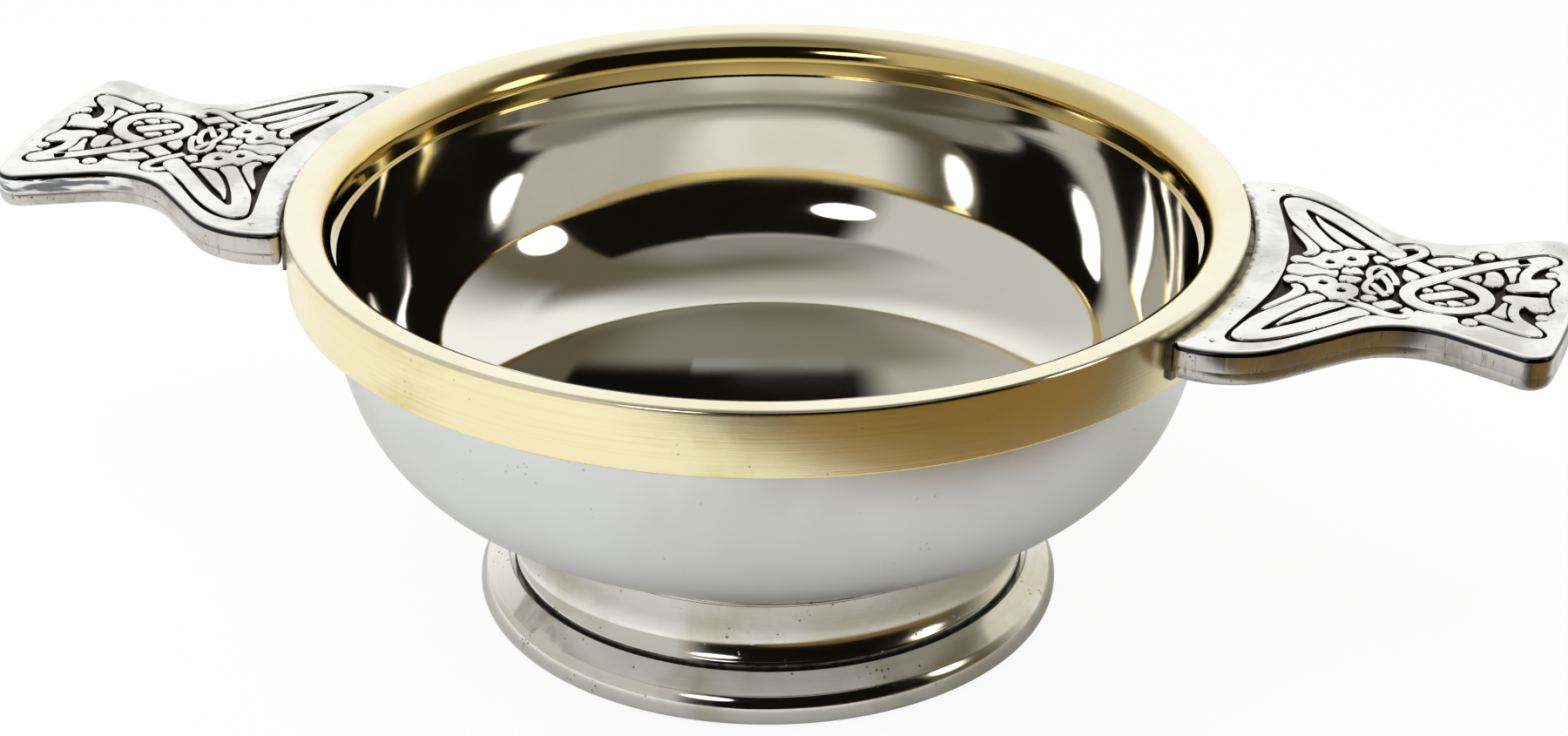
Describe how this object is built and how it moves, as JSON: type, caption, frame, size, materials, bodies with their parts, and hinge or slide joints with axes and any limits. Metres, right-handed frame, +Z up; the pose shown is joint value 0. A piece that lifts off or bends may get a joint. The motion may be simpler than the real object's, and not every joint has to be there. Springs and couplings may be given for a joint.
{
  "type": "quaich",
  "caption": "Shallow round drinking bowl on a low hollow foot, with a rolled metal rim and flat flared lugs on opposite sides to lift and pass it by.",
  "frame": {"origin": "middle of the foot's underside, on the table", "axes": "+X along the lugs, +Z up out of the bowl's mouth"},
  "size_m": [0.1692, 0.102, 0.047],
  "materials": {
    "satin_pewter": "satin outside, mirror polished inside",
    "polished_pewter": "mirror polished, with fine turning marks",
    "cast_pewter": "cast, polished high spots, dark patina in the ground",
    "brass": "brushed band, polished roll",
    "solder": "dull and rough"
  },
  "bodies": {
    "root": {"foot_base": "polished_pewter", "base_solder": "solder", "foot_stem": "polished_pewter", "foot_collar": "polished_pewter", "bowl": "satin_pewter", "brass_rim": "brass", "lug_solder_left": "solder", "lug_solder_right": "solder", "lug_left": "cast_pewter", "lug_right": "cast_pewter"}
  },
  "joints": []
}
